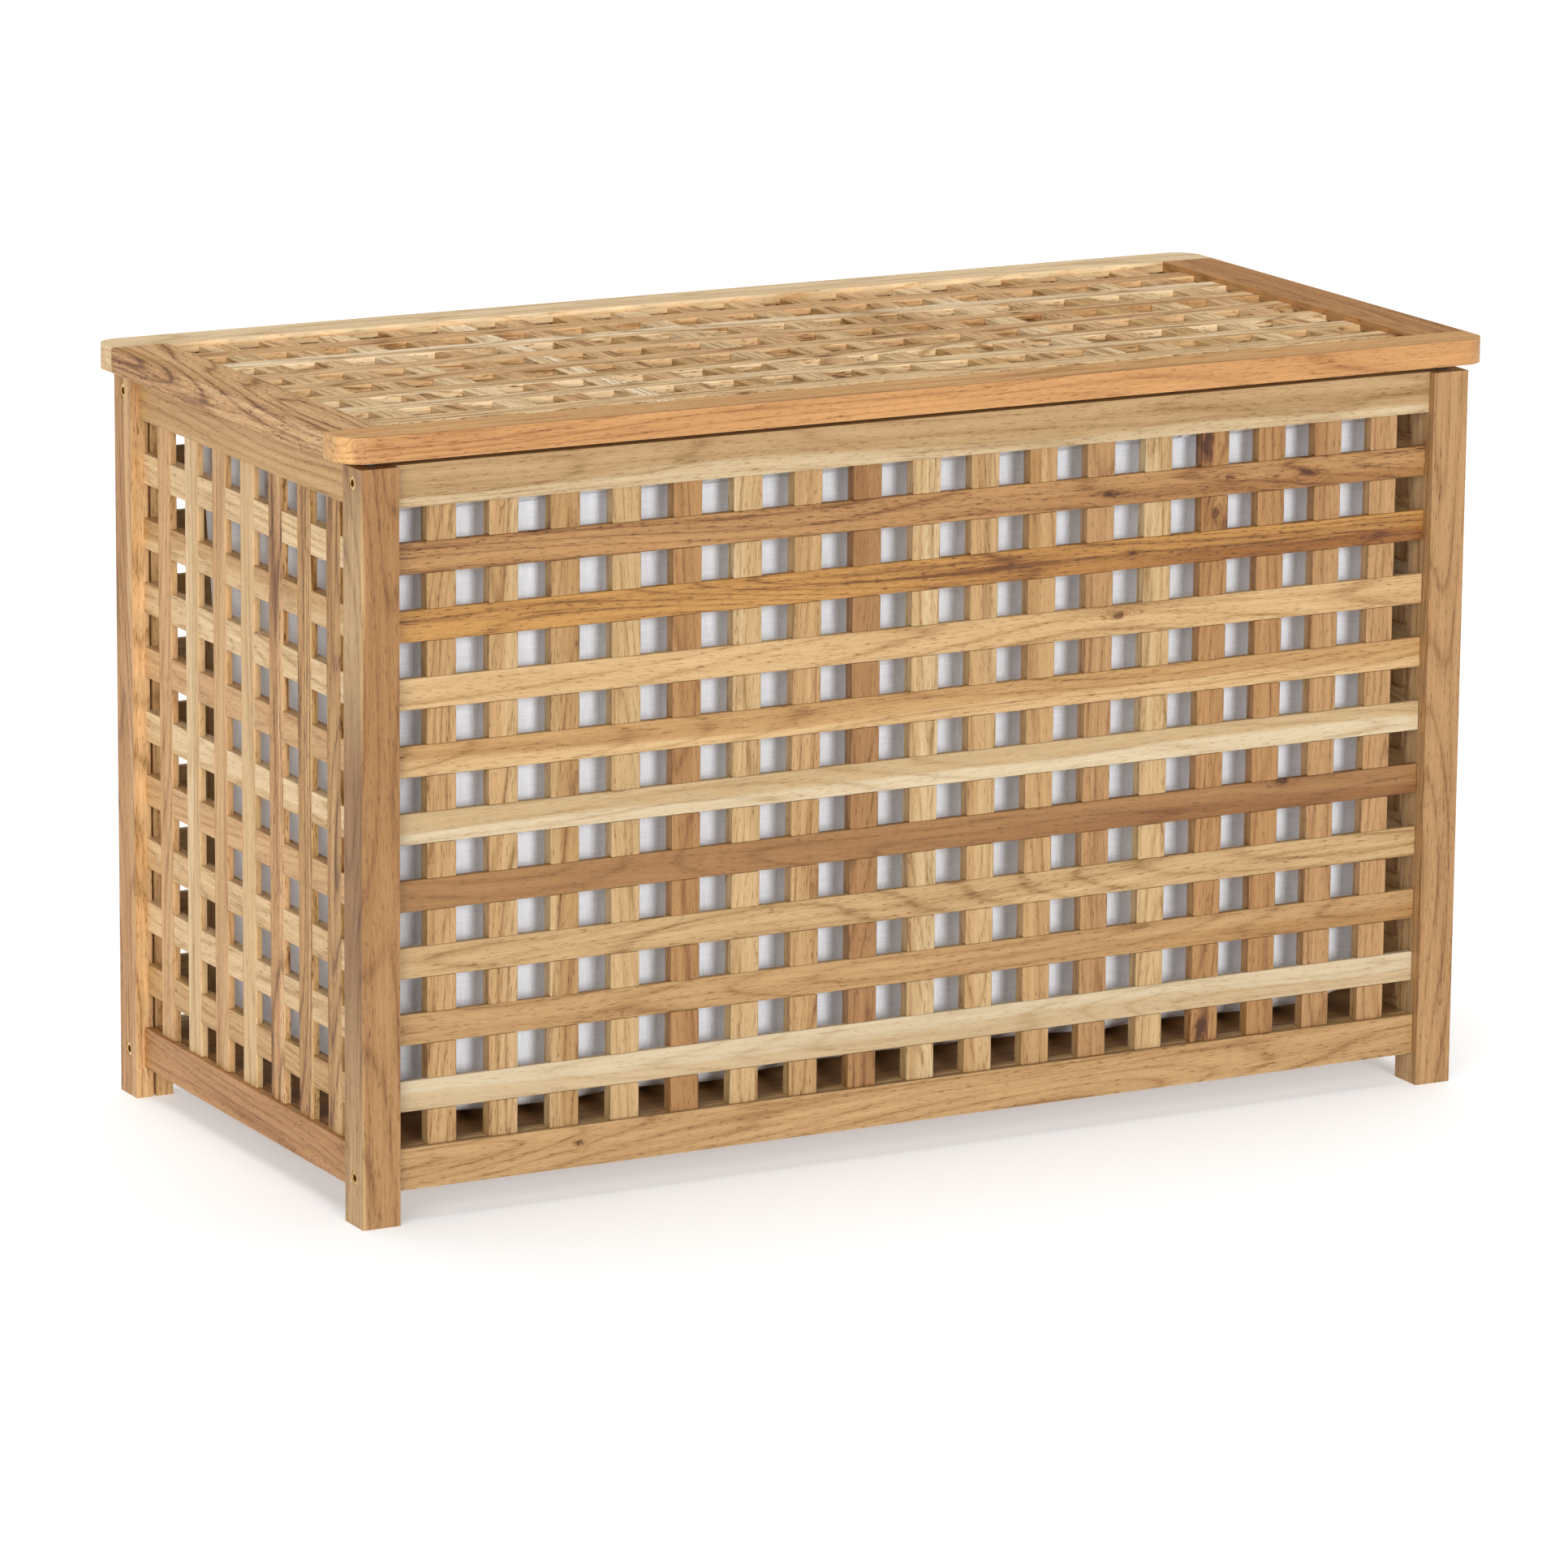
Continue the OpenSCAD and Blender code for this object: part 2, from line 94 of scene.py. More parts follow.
# The woods that the boards were sorted into, as they are before the oil.
WOODS = {
    "d": "#856039",  # the darkest heartwood
    "r": "#8F693F",  # red-brown heartwood
    "f": "#966C36",  # fox brown
    "b": "#95724B",  # brown
    "t": "#9C7C53",  # tan
    "n": "#A1855E",  # nut
    "a": "#A87A4B",  # amber
    "e": "#A89374",  # ecru, greyish
    "y": "#AD8F66",  # yellow-brown
    "g": "#B6A68C",  # grey sapwood
    "o": "#B5905F",  # ochre
    "h": "#BB9467",  # honey
    "w": "#C19D72",  # wheat
    "s": "#C6A67B",  # straw
    "p": "#CCAE85",  # pale sapwood
    "c": "#D0B48E"}  # cream, the palest sapwood
OILED = np.array([0.95, 0.91, 0.82])  # the oil makes the sawn wood a little darker and yellower
# Marks for one side of a board and for its far end, as shares of its tone: the same, paler, the palest,
# darker, and the darkest.
MARKS = {"=": (1, 1, 1), "+": (1.12, 1.22, 1.4), "^": (1.4, 1.6, 1.8), "-": (0.80, 0.70, 0.55),
         "#": (0.62, 0.48, 0.33)}
FIGURES = {"~": 0.55, "": 1.0, "*": 2.0}  # a mark that may follow: how strongly a board's grain is drawn
# What the figure of the wood does to a board's tone, from its palest streaks to a knot.
STAIN = [(0.0, (1.34, 1.44, 1.62, 1)), (0.33, (1.04, 1.04, 1.04, 1)), (0.62, (0.62, 0.50, 0.33, 1)),
         (1.0, (0.22, 0.12, 0.06, 1))]


def board_tone(wood, mark):
    """The linear colour of an oiled wood, made paler or darker by a mark."""
    return (*np.array(linear(WOODS[wood])[:3]) * MARKS[mark] * OILED, 1.0)


def oiled_walnut(name, grain, boards, step=None, span=None, seed=0.0, far=(-0.1, 0.3), knots=(), figure=1.0,
                 turn=(0.60, 0.74)):
    """Sawn and oiled walnut with sapwood: streaks, arched growth rings, short dark pores, a satin gloss.

    grain is the axis that the boards run along. Each board is its wood and two marks: for its side towards
    the higher coordinate, and for its far end. step is (axis, low edge of the first board) for boards a pitch
    apart, and span is (axis, low edge, width) for a single one. knots are (along, across, radius) in metres:
    the grain bends round them. figure is how strongly the grain is drawn. Past the second number of far, in
    metres along, a board has its far tone, and past that of turn, as a share across, its side tone. A turn
    whose first number is the larger puts the side tone on the lower side instead.
    """
    m, t = material(name)
    across = (step or span)[0]
    depth = next(a for a in "XYZ" if a not in (grain, across))
    at = node(t, "TexCoord", out="Object")
    along, side_at, deep = (node(t, "SeparateXYZ", at, out=a) for a in (grain, across, depth))
    if step:
        low = step[1] - (PITCH - SLAT) / 2
        number = node(t, "Math", node(t, "Math", side_at, -low, operation="ADD"), PITCH, operation="DIVIDE")
        number = node(t, "Math", number, operation="FLOOR")
        edge_at = node(t, "Math", number, PITCH, step[1], operation="MULTIPLY_ADD")
        side = node(t, "Math", side_at, edge_at, operation="SUBTRACT")
        side = node(t, "Math", side, SLAT, operation="DIVIDE")
        pick = node(t, "Math", number, 0.5, operation="ADD")
        pick = node(t, "Math", pick, len(boards), operation="DIVIDE")
    else:
        number = math.floor(seed)
        side = node(t, "MapRange", side_at, span[1], span[1] + span[2])
        pick = 0.5

    # stepped ramps over the boards: main tone, side tone, far tone, and how strongly the grain is drawn
    stepped = []
    for row in ([board_tone(b[0], "=") for b in boards], [board_tone(b[0], b[1]) for b in boards],
                [board_tone(b[0], b[2]) for b in boards],
                [(*[FIGURES[b[3:]] * figure] * 3, 1.0) for b in boards]):
        stops = [(i / len(row), value) for i, value in enumerate(row)]
        stepped.append(node(t, "ValToRGB", pick, stops=stops if len(row) > 1 else stops * 2))
        stepped[-1].node.color_ramp.interpolation = "CONSTANT"
    main_tone, side_tone, far_tone, drawn_by = stepped

    # each board comes from another place in the log
    l0 = node(t, "Math", along, seed, operation="ADD")
    l0 = node(t, "Math", number, 1.37, l0, operation="MULTIPLY_ADD")
    a0 = node(t, "Math", number, 0.093, side_at, operation="MULTIPLY_ADD")
    d0 = node(t, "Math", number, 0.031, deep, operation="MULTIPLY_ADD")
    own = node(t, "Math", number, seed + 0.37, operation="ADD")
    own = node(t, "TexWhiteNoise", noise_dimensions="1D", sockets={"W": own})
    vigour = node(t, "MapRange", own, 0.0, 1.0, 0.85, 1.15)
    vigour = node(t, "Math", drawn_by, vigour, operation="MULTIPLY")
    knot = 0.0
    for kl, ka, kr in knots:
        # how far off the knot a point is, in its radii; it is 2.2 times as long as it is wide, and uneven
        dl = node(t, "Math", node(t, "Math", along, -kl, operation="ADD"), kr * 2.2, operation="DIVIDE")
        da = node(t, "Math", node(t, "Math", side_at, -ka, operation="ADD"), kr, operation="DIVIDE")
        away = node(t, "Math", da, 2.0, operation="POWER")
        away = node(t, "Math", dl, dl, away, operation="MULTIPLY_ADD")
        away = node(t, "Math", node(t, "Math", away, operation="SQRT"), -0.7, operation="ADD")
        rough = node(t, "TexNoise", at, sockets={"Scale": 0.9 / kr, "Detail": 3.0})
        away = node(t, "Math", rough, 1.4, away, operation="MULTIPLY_ADD")
        # the grain is pushed aside round it, and it is a dark spot in paler rings
        push = node(t, "MapRange", away, 0.0, 3.2, 1.0, 0.0, interpolation_type="SMOOTHSTEP")
        bend = node(t, "Math", push, -0.5 * kr, operation="MULTIPLY")
        a0 = node(t, "Math", da, bend, a0, operation="MULTIPLY_ADD")
        spot = node(t, "MapRange", away, 0.1, 1.0, 0.55, 0.0, interpolation_type="SMOOTHSTEP")
        ring = node(t, "Math", node(t, "Math", away, 1.7, operation="MULTIPLY"), 0.5, operation="PINGPONG")
        halo = node(t, "Math", node(t, "Math", ring, push, operation="MULTIPLY"), 0.45, spot,
                    operation="MULTIPLY_ADD")
        knot = node(t, "Math", knot, halo, operation="ADD")

    wander = node(t, "TexNoise", node(t, "CombineXYZ", node(t, "Math", l0, 3.0, operation="MULTIPLY"),
                                      node(t, "Math", a0, 16.0, operation="MULTIPLY"), d0),
                  sockets={"Scale": 1.0, "Detail": 1.0})  # the grain leans by some millimetres over 300 mm
    a1 = node(t, "Math", wander, 0.014, a0, operation="MULTIPLY_ADD")
    lean = node(t, "MapRange", own, 0.0, 1.0, 0.05, -0.05)
    a1 = node(t, "Math", along, lean, a1, operation="MULTIPLY_ADD")
    layers = {}
    # name: features per metre along, per metre across, detail, roughness
    for layer, (per_long, per_wide, detail, rough) in {
            "arch": (1.9, 20, 1.0, 0.35),  # a slow field whose contour lines are the arched rings
            "band": (2.2, 75, 2.0, 0.5),  # 13 mm
            "streak": (7, 340, 3.0, 0.6),  # 3 mm and finer
            "fibre": (38, 950, 2.5, 0.65),  # 1.1 mm
            "pore": (130, 1250, 1.0, 0.5)}.items():  # 0.8 mm wide and 8 mm long
        where = node(t, "CombineXYZ", node(t, "Math", l0, per_long, operation="MULTIPLY"),
                     node(t, "Math", a1, per_wide, operation="MULTIPLY"),
                     node(t, "Math", d0, per_wide, operation="MULTIPLY"))
        layers[layer] = node(t, "TexNoise", where,
                             sockets={"Scale": 1.0, "Detail": detail, "Roughness": rough})
    ring = node(t, "Math", layers["arch"], 17.0, operation="MULTIPLY")
    ring = node(t, "Math", ring, 0.5, operation="PINGPONG")
    line = node(t, "MapRange", ring, 0.0, 0.17, 1.0, 0.0, interpolation_type="SMOOTHSTEP")
    pore = node(t, "MapRange", layers["pore"], 0.58, 0.70, interpolation_type="SMOOTHSTEP")

    drawn = -0.46
    for share, value in [(0.50, layers["band"]), (0.56, layers["streak"]), (0.50, layers["fibre"]),
                         (0.13, line), (-0.20, ring), (0.26, pore)]:
        drawn = node(t, "Math", value, share, drawn, operation="MULTIPLY_ADD")
    drawn = node(t, "Math", node(t, "Math", drawn, -0.33, operation="ADD"), vigour, 0.33,
                 operation="MULTIPLY_ADD")
    drawn = node(t, "Math", drawn, knot, operation="ADD")
    stain = node(t, "ValToRGB", drawn, stops=STAIN)

    reach = node(t, "Math", wander, 0.5, node(t, "Math", along, -0.25, operation="ADD"),
                 operation="MULTIPLY_ADD")
    at_end = node(t, "MapRange", reach, *far, interpolation_type="SMOOTHSTEP")
    to_side = node(t, "Math", node(t, "Math", side, 0.75, operation="MULTIPLY"),
                   node(t, "Math", wander, 0.7, operation="MULTIPLY"), operation="ADD")
    at_side = node(t, "MapRange", to_side, *turn, interpolation_type="SMOOTHSTEP")
    tone = node(t, "MixRGB", at_side, node(t, "MixRGB", at_end, main_tone, far_tone), side_tone)
    colour = node(t, "MixRGB", 1.0, tone, stain, blend_type="MULTIPLY")
    gloss = node(t, "MapRange", layers["streak"], 0.3, 0.7, 0.42, 0.56)
    height = node(t, "Math", pore, -0.7, node(t, "Math", layers["fibre"], 0.4, operation="MULTIPLY"),
                  operation="MULTIPLY_ADD")
    bump = node(t, "Bump", sockets={"Strength": 0.3, "Distance": 0.0003, "Height": height})
    node(t, "OutputMaterial", node(t, "BsdfPrincipled", sockets={
        "Base Color": colour, "Roughness": gloss, "Normal": bump, "IOR": 1.45}))
    return m


def smooth_rounds():
    """A modifier that shades small turns smoothly: faces smooth, and an edge is sharp past 25 degrees."""
    g = bpy.data.node_groups.new("smooth rounds", "GeometryNodeTree")
    g.interface.new_socket("Geometry", in_out="INPUT", socket_type="NodeSocketGeometry")
    g.interface.new_socket("Geometry", in_out="OUTPUT", socket_type="NodeSocketGeometry")
    start, end = g.nodes.new("NodeGroupInput"), g.nodes.new("NodeGroupOutput")
    soft, sharp = g.nodes.new("GeometryNodeSetShadeSmooth"), g.nodes.new("GeometryNodeSetShadeSmooth")
    angle, over = g.nodes.new("GeometryNodeInputMeshEdgeAngle"), g.nodes.new("FunctionNodeCompare")
    over.operation = "GREATER_THAN"
    over.inputs[1].default_value = math.radians(25)
    sharp.domain = "EDGE"
    sharp.inputs["Shade Smooth"].default_value = False
    g.links.new(start.outputs[0], soft.inputs["Geometry"])
    g.links.new(soft.outputs[0], sharp.inputs["Geometry"])
    g.links.new(angle.outputs["Unsigned Angle"], over.inputs[0])
    g.links.new(over.outputs[0], sharp.inputs["Selection"])
    g.links.new(sharp.outputs[0], end.inputs[0])
    return g


SMOOTH = smooth_rounds()


def dress(names, mat, edge=0.0, segments=2, rounded=False):
    """Gives CAD nodes their material; edge is the radius that eases their sharp edges, in metres."""
    for name in [names] if isinstance(names, str) else names:
        o = nodes[name]
        for s in range(max(1, len(o.material_slots))):
            if len(o.material_slots) <= s:
                o.data.materials.append(mat)
            o.material_slots[s].material = mat
        if edge:
            weld = o.modifiers.new("joined", "WELD")
            weld.merge_threshold = 0.00002
            if rounded:
                o.modifiers.new("smooth rounds", "NODES").node_group = SMOOTH
            bevel = o.modifiers.new("eased edges", "BEVEL")
            bevel.width = edge
            bevel.segments = segments
            bevel.limit_method = "ANGLE"
            bevel.angle_limit = math.radians(40)
            bevel.harden_normals = True


# the radii that the edges are eased by, in metres
LEG = 0.0018
LID = 0.0016
RAIL = 0.0012
STRIP = 0.0008
PANEL = 0.0005


def lattice(name, grain, across, boards, seed, knots=(), far=(-0.1, 0.3), figure=1.0):
    """A row of slats a pitch apart, listed from the lower coordinate to the higher."""
    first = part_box(name)[0]["XYZ".index(across)]
    wood = oiled_walnut(name.replace("_", " ") + ", oiled walnut", grain, boards.split(),
                        step=(across, first), seed=seed, far=far, knots=knots, figure=figure)
    dress(name, wood, STRIP)


def board(name, grain, across, tone, seed, edge, knots=(), figure=1.0, rounded=False, turn=(0.60, 0.74)):
    """One wide board, whose tones run across the given axis."""
    low, high = (corner["XYZ".index(across)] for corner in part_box(name))
    wood = oiled_walnut(name.replace("_", " ") + ", oiled walnut", grain, [tone],
                        span=(across, low, high - low), seed=seed, knots=knots, figure=figure, turn=turn)
    dress(name, wood, edge, rounded=rounded)


lattice("front_level_strips", "X", "Z", "e+=~ t=- n== d=- g-=~ y-= y== f=#* r=-*", 0.2,
        [(0.247, 0.466, 0.003), (0.286, 0.464, 0.0025), (0.311, 0.464, 0.005), (0.148, 0.462, 0.0035),
         (0.168, 0.418, 0.0025), (0.157, 0.374, 0.004), (0.296, 0.239, 0.004), (-0.242, 0.291, 0.0045)])
lattice("front_upright_slats", "Z", "X",
        "t== t+= n-- n== r== n=+ t== d=- n+= t+= t=- b== n=+ r=- r== b=- b==", 4.1,
        [(0.492, 0.228, 0.0095), (0.44, 0.236, 0.0055), (0.062, 0.232, 0.007)], far=(0.25, 0.5), figure=1.2)
lattice("back_level_strips", "X", "Z", "t== b=- n== t=- r== n=+ y-= t=- n==", 9.7)
lattice("back_upright_slats", "Z", "X",
        "t== r=- n== t=+ n== r== n=- t== n== y+= r=- t== n=+ d=- n== n== b==", 14.3)
lattice("left_upright_strips", "Z", "Y", "o--* o-=* h-=* s==~ h== s+=~ h==", 19.9, figure=1.2)
lattice("left_level_slats", "Y", "Z", "o== p== s=- h== s+= h== p== s-= p==", 25.3)
lattice("right_upright_strips", "Z", "Y", "h== s=+ o-= o== w== a-= o==", 31.1)
lattice("right_level_slats", "Y", "Z", "o== o=- s== o== h== y=- g-= o== h==", 37.7)
lattice("lid_long_strips", "X", "Y", "s== c=- c-= w== w=- c+= h==", 43.3,
        [(-0.005, -0.048, 0.006), (0.21, 0.047, 0.004)], figure=1.9)
lattice("lid_cross_slats", "Y", "X",
        "s== w== c== h== c+= w== o== c== w=- s== o== w== c== w== o=- p== w==", 49.9, figure=1.7)

board("leg_front_left", "Z", "X", "b^-", 3.2, LEG, figure=1.2, turn=(0.46, 0.34))
board("leg_front_right", "Z", "Y", "b+=", 5.2, LEG, figure=1.2)
board("leg_rear_left", "Z", "Y", "h-=", 7.2, LEG, figure=1.2)
board("leg_rear_right", "Z", "X", "b==", 11.2, LEG, figure=1.2)
board("front_top_rail", "X", "Z", "e-=", 13.2, RAIL, turn=(0.50, 0.60))
board("front_bottom_rail", "X", "Z", "t==", 15.2, RAIL, [(-0.272, 0.04, 0.003)])
board("back_top_rail", "X", "Z", "t-=", 17.2, RAIL)
board("back_bottom_rail", "X", "Z", "n=-", 19.2, RAIL)
board("left_top_rail", "Y", "Z", "o==", 21.2, RAIL)
board("left_bottom_rail", "Y", "Z", "a==", 23.2, RAIL)
board("right_top_rail", "Y", "Z", "o==", 25.2, RAIL)
board("right_bottom_rail", "Y", "Z", "o=-", 27.2, RAIL)
board("lid_front_rail", "X", "Y", "a^=", 29.2, LID, rounded=True, turn=(0.36, 0.48))
board("lid_back_rail", "X", "Z", "p+=", 31.2, LID, rounded=True, figure=0.8, turn=(0.98, 1.04))
board("lid_left_stile", "Y", "X", "h=-", 33.2, LID, figure=2.2)
board("lid_right_stile", "Y", "X", "a==", 35.2, LID)
board("bottom_panel", "X", "Y", "r==", 37.2, PANEL)
board("long_cleats", "X", "Y", "t==", 39.2, STRIP)
board("short_cleats", "Y", "X", "t==", 41.2, STRIP)

# planed beech: pale and even, with fine flecks
beech, t = material("dowels, planed beech")
fleck = node(t, "TexNoise", node(t, "TexCoord", out="Object"), sockets={"Scale": 900.0, "Detail": 2.0})
tint = node(t, "ValToRGB", fleck, stops=[(0.3, linear("#C9A577")), (0.7, linear("#E3C79C"))])
node(t, "OutputMaterial", node(t, "BsdfPrincipled", sockets={"Base Color": tint, "Roughness": 0.6}))
dress(["long_rail_dowels", "end_rail_dowels", "lid_stile_dowels"], beech)


def plated_metal(name, colour, shade, rough):
    """Worked metal: fine scratches change its gloss, and a darker film lies in patches 3 mm wide."""
    m, t = material(name)
    at = node(t, "TexCoord", out="Object")
    film = node(t, "TexNoise", at, sockets={"Scale": 320.0, "Detail": 3.0})
    scratch = node(t, "TexNoise", at, sockets={"Scale": 2600.0, "Detail": 2.0})
    tint = node(t, "ValToRGB", film, stops=[(0.35, linear(shade)), (0.65, linear(colour))])
    gloss = node(t, "MapRange", scratch, 0.0, 1.0, rough - 0.08, rough + 0.1)
    node(t, "OutputMaterial", node(t, "BsdfPrincipled", sockets={
        "Base Color": tint, "Roughness": gloss, "Metallic": 1.0}))
    return m


dress("leg_bolts", plated_metal("furniture screws, yellow zinc plate", "#DCBE80", "#AD8B4C", 0.27), 0.0004)
dress("cross_nuts", plated_metal("cross nuts, yellow zinc plate", "#C9BA92", "#9A8B66", 0.35), 0.0003)
dress(["hinge_fixed_leaves", "hinge_moving_leaves", "hinge_pins"],
      plated_metal("hinges, brushed brass", "#D6B56A", "#B08E4A", 0.3), 0.0002)
dress(["hinge_screws_chest", "hinge_screws_lid"],
      plated_metal("hinge screws, brass", "#DCBE76", "#B3924F", 0.28), 0.0001)

# moulded rubber: near black, dull, with a fine grit
rubber, t = material("bumpers, moulded rubber")
grit = node(t, "TexNoise", node(t, "TexCoord", out="Object"), sockets={"Scale": 3000.0, "Detail": 2.0})
tint = node(t, "ValToRGB", grit, stops=[(0.3, linear("#2A2624")), (0.7, linear("#3A3633"))])
gloss = node(t, "MapRange", grit, 0.3, 0.7, 0.6, 0.8)
node(t, "OutputMaterial", node(t, "BsdfPrincipled", sockets={"Base Color": tint, "Roughness": gloss}))
dress("lid_bumpers", rubber, 0.0004)

# knitted nylon: a pale pile of tiny hooks 1.1 mm apart
tape, t = material("hook tape, knitted nylon")
hooks = node(t, "TexVoronoi", node(t, "TexCoord", out="Object"), sockets={"Scale": 900.0})
tint = node(t, "ValToRGB", hooks, stops=[(0.0, linear("#E6E3DD")), (0.8, linear("#B9B5AD"))])
bump = node(t, "Bump", sockets={"Strength": 0.8, "Distance": 0.0004, "Height": hooks})
node(t, "OutputMaterial", node(t, "BsdfPrincipled", sockets={
    "Base Color": tint, "Roughness": 0.85, "Normal": bump}))
dress("bag_hook_tapes", tape)


def woven_cotton(name, pale, shade, thread, strength):
    """Plain weave: two sets of threads at right angles, over and under in turn, slubby, with a soft sheen.

    Reads a UV map in metres. thread is the spacing in metres, about twice the real one so that it shows.
    """
    m, t = material(name)
    uv = node(t, "UVMap", uv_map="cloth")
    u, v = (node(t, "SeparateXYZ", uv, out=a) for a in "XY")
    over, under = (node(t, "Math", node(t, "Math", w, TAU / thread, operation="MULTIPLY"), operation="SINE")
                   for w in (u, v))
    weave = node(t, "Math", over, under, operation="MULTIPLY")
    slub = [node(t, "TexNoise", node(t, "CombineXYZ", node(t, "Math", u, a, operation="MULTIPLY"),
                                     node(t, "Math", v, b, operation="MULTIPLY")),
                 sockets={"Scale": 1.0, "Detail": 3.0}) for a, b in ((1000.0, 60.0), (60.0, 1000.0))]
    slub = node(t, "Math", *slub, operation="ADD")
    tint = node(t, "ValToRGB", node(t, "Math", slub, 0.5, operation="MULTIPLY"),
                stops=[(0.36, linear(shade)), (0.62, linear(pale))])
    height = node(t, "Math", weave, 0.4, slub, operation="MULTIPLY_ADD")
    bump = node(t, "Bump", sockets={"Strength": strength, "Distance": 0.0004, "Height": height})
    node(t, "OutputMaterial", node(t, "BsdfPrincipled", sockets={
        "Base Color": tint, "Roughness": 0.9, "Normal": bump, "Sheen Weight": 0.15, "Sheen Roughness": 0.5}))
    return m


bag_cotton = woven_cotton("bag, bleached woven cotton", "#F5F7FB", "#E3E6EE", 0.0011, 0.35)
binding_cotton = woven_cotton("rim and tabs, cotton webbing", "#F2F3F5", "#DDDFE4", 0.0016, 0.5)


# ---- the bag

bag_low, bag_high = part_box("laundry_bag")
HALF = (bag_high - bag_low) / 2
RIM = bag_high.z
FLOOR = bag_low.z


def cloth_piece(name, points, faces, uv, mat, thickness, offset=0.0):
    """A mesh of these points and faces with a UV map in metres, given the cloth's thickness, on the chest."""
    me = bpy.data.meshes.new(name)
    me.from_pydata(points.tolist(), [], faces.tolist())
    layer = me.uv_layers.new(name="cloth")
    layer.data.foreach_set("uv", uv[faces.ravel()].astype(np.float32).ravel())
    me.materials.append(mat)
    me.polygons.foreach_set("use_smooth", np.ones(len(me.polygons), bool))
    o = bpy.data.objects.new(name, me)
    scene.collection.objects.link(o)
    thick = o.modifiers.new("cloth", "SOLIDIFY")
    thick.thickness, thick.offset = thickness, offset
    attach(o, "chest")
    return o


def grid_faces(rows, cols, closed):
    """Quads of a grid of rows x cols points; closed joins the last column to the first."""
    r, c = np.meshgrid(np.arange(rows - 1), np.arange(cols if closed else cols - 1), indexing="ij")
    c2 = (c + 1) % cols
    return np.stack([r * cols + c, r * cols + c2, (r + 1) * cols + c2, (r + 1) * cols + c], -1).reshape(-1, 4)


def outline(turn, half_x, half_y, radius):
    """A rounded rectangle: points at shares turn of its length, starting mid-right and going anticlockwise.

    On a straight part a point is the part's start plus the length along its heading, and on a corner the
    heading turns by length / radius. Returns the points, their outward normals and the whole length.
    """
    sx, sy = half_x - radius, half_y - radius
    arc = math.pi / 2 * radius
    ends = np.concatenate([[0], np.cumsum([sy, arc, 2 * sx, arc, 2 * sy, arc, 2 * sx, arc, sy])])
    s = (turn % 1.0) * ends[-1]
    k = np.clip(np.searchsorted(ends, s, side="right") - 1, 0, 8)
    gone = (s - ends[k])[:, None]
    heading = np.array([90, 90, 180, 180, 270, 270, 0, 0, 90])[k] * math.pi / 180
    start = np.array([[half_x, 0], [half_x, sy], [sx, half_y], [-sx, half_y], [-half_x, sy],
                      [-half_x, -sy], [-sx, -half_y], [sx, -half_y], [half_x, -sy]])[k]
    bend = (k % 2 == 1)[:, None]
    ahead = np.stack([np.cos(heading), np.sin(heading)], -1)
    left = np.stack([-np.sin(heading), np.cos(heading)], -1)
    turned = np.where(bend, gone / radius, 0.0)
    curved = radius * (np.sin(turned) * ahead + (1 - np.cos(turned)) * left)
    final = heading + turned[:, 0]
    normal = np.stack([np.sin(final), -np.cos(final)], -1)
    return start + np.where(bend, curved, ahead * gone), normal, ends[-1]


rng = np.random.default_rng(12)
FOLDS = [(int(k), rng.uniform(0, TAU), rng.uniform(0.4, 1.0), rng.uniform(-1.5, 1.5)) for k in
         rng.choice(np.arange(7, 44), 14, replace=False)]  # how many round the bag, start, height, lean
TAB = 0.24  # how far along the long sides the tabs are
CLEAR = 0.0015  # the bag's lowest points lie this far above the underside of its CAD solid
ROUND = 440  # points round the bag


def bag_wall(turn, height):
    """The wall of the bag: the rounded outline, moved along its normal.

    The shift is a sum of upright folds, each a cosine round the outline that leans with height and is deeper
    near the rim, plus a slow belly halfway up, plus the pull of the tabs; the rim hangs lower between tabs.
    """
    p, n, length = outline(turn, HALF.x - 0.002, HALF.y - 0.0015, 0.018)
    h = height
    folds = sum(a * np.cos(TAU * k * turn + start + lean * h) for k, start, a, lean in FOLDS) / 5
    end = np.abs(n[:, 0]) ** 2
    depth = 0.0010 + 0.0026 * h ** 2 + 0.0026 * end * h ** 3 + 0.0012 * (1 - h) ** 4
    belly = 0.002 * np.sin(math.pi * h) * np.cos(TAU * 3 * turn + 0.7) - 0.004 * (1 - h) ** 2
    long_side = np.exp(-((np.abs(p[:, 0]) - TAB) / 0.05) ** 2) * (np.abs(p[:, 1]) > 0.1)
    held = np.maximum(long_side, np.exp(-(p[:, 1] / 0.05) ** 2) * (np.abs(p[:, 0]) > 0.3))
    pull = (0.006 * held + 0.009 * end) * np.clip((h - 0.66) / 0.34, 0, 1)
    shift = folds * depth + belly + pull - 0.001
    sag = 0.002 * (1 - held) * np.clip((h - 0.6) / 0.4, 0, 1) ** 2
    z = FLOOR + CLEAR + (RIM - FLOOR - 0.0025) * h - sag
    return np.stack([p[:, 0] + n[:, 0] * shift, p[:, 1] + n[:, 1] * shift, z], -1), length


